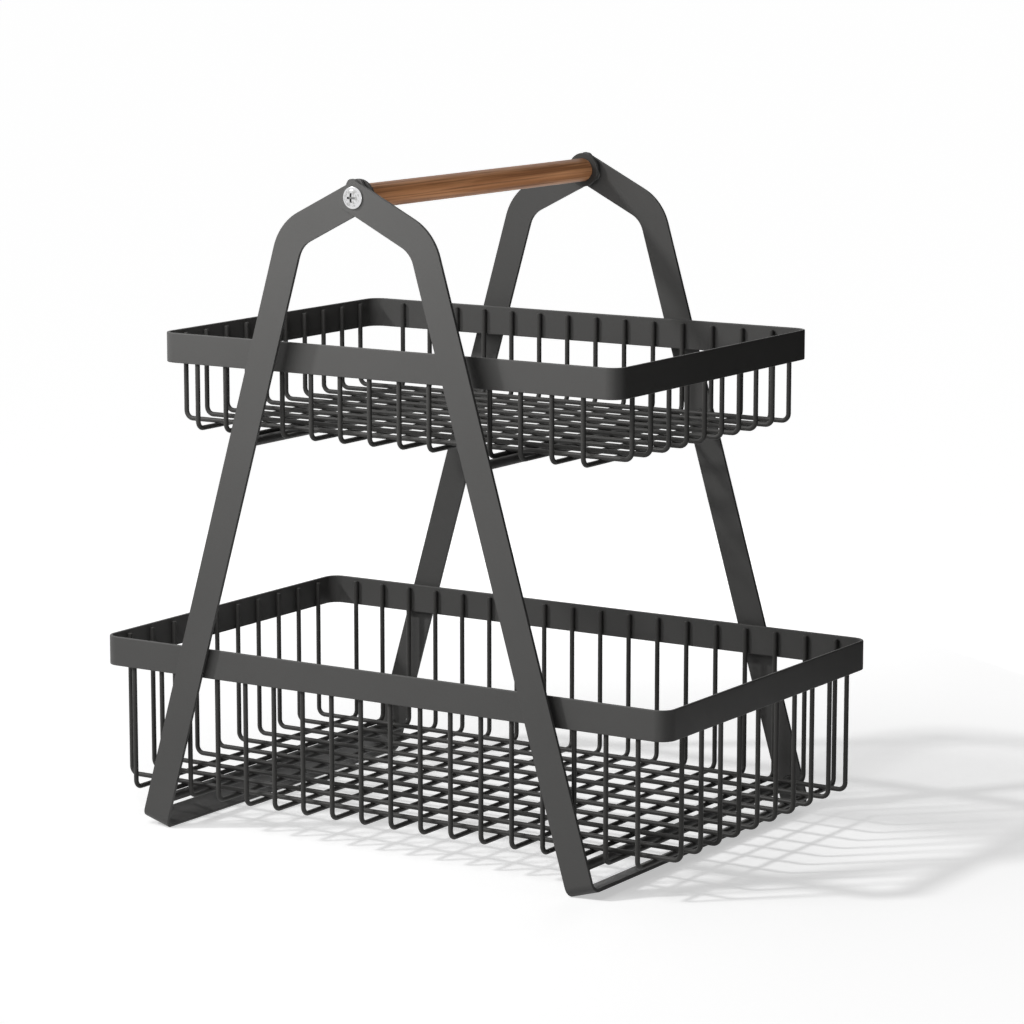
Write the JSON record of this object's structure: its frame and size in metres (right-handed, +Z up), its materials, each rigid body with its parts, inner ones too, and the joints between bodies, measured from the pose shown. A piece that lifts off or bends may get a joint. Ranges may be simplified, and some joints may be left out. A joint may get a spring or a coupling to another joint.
{
  "type": "tiered wire basket",
  "caption": "Tiered wire basket: open baskets with flat strip rims rest on rods between A-shaped flat-bar side frames, under a round wooden carrying handle.",
  "frame": {"origin": "on the surface that the feet stand on, below the middle of the lower basket, which is the middle of the part's box", "axes": "+X to the right along the width, +Y from the front to the back along the handle, +Z up"},
  "size_m": [0.38, 0.2492, 0.3817],
  "materials": {
    "coated_steel": "satin black powder coat",
    "grip_wood": "oiled walnut-brown wood, satin",
    "screw_chrome": "bright nickel-chrome plating"
  },
  "bodies": {
    "stand": {"right_side_frame": "coated_steel", "right_upper_rod": "coated_steel", "right_lower_rod": "coated_steel", "handle_grip": "grip_wood", "front_collar": "coated_steel", "back_collar": "coated_steel", "handle_screws": "screw_chrome"},
    "left_frame": {"left_side_frame": "coated_steel", "left_upper_rod": "coated_steel", "left_lower_rod": "coated_steel"},
    "upper_basket": {"upper_rim": "coated_steel", "upper_width_wires": "coated_steel", "upper_depth_wire_01": "coated_steel", "upper_depth_wire_02": "coated_steel", "upper_depth_wire_03": "coated_steel", "upper_depth_wire_04": "coated_steel", "upper_depth_wire_05": "coated_steel", "upper_depth_wire_06": "coated_steel", "upper_depth_wire_07": "coated_steel", "upper_depth_wire_08": "coated_steel", "upper_depth_wire_09": "coated_steel", "upper_depth_wire_10": "coated_steel", "upper_depth_wire_11": "coated_steel", "upper_depth_wire_12": "coated_steel", "upper_depth_wire_13": "coated_steel", "upper_depth_wire_14": "coated_steel"},
    "lower_basket": {"lower_rim": "coated_steel", "lower_width_wires": "coated_steel", "lower_depth_wire_01": "coated_steel", "lower_depth_wire_02": "coated_steel", "lower_depth_wire_03": "coated_steel", "lower_depth_wire_04": "coated_steel", "lower_depth_wire_05": "coated_steel", "lower_depth_wire_06": "coated_steel", "lower_depth_wire_07": "coated_steel", "lower_depth_wire_08": "coated_steel", "lower_depth_wire_09": "coated_steel", "lower_depth_wire_10": "coated_steel", "lower_depth_wire_11": "coated_steel", "lower_depth_wire_12": "coated_steel", "lower_depth_wire_13": "coated_steel", "lower_depth_wire_14": "coated_steel", "lower_depth_wire_15": "coated_steel", "lower_depth_wire_16": "coated_steel", "lower_depth_wire_17": "coated_steel", "lower_depth_wire_18": "coated_steel"}
  },
  "joints": [
    {"name": "frame_fold", "type": "hinge", "parent": "stand", "child": "left_frame", "pos_m": [-0.0056, 0, 0.3715], "axis": [0, -1, 0], "range_deg": [0, 40]},
    {"name": "upper_basket_lift", "type": "slide", "parent": "stand", "child": "upper_basket", "axis": [0, 0, 1], "range_m": [0, 0.075]},
    {"name": "lower_basket_lift", "type": "slide", "parent": "stand", "child": "lower_basket", "axis": [0, 0, 1], "range_m": [0, 0.09]}
  ]
}
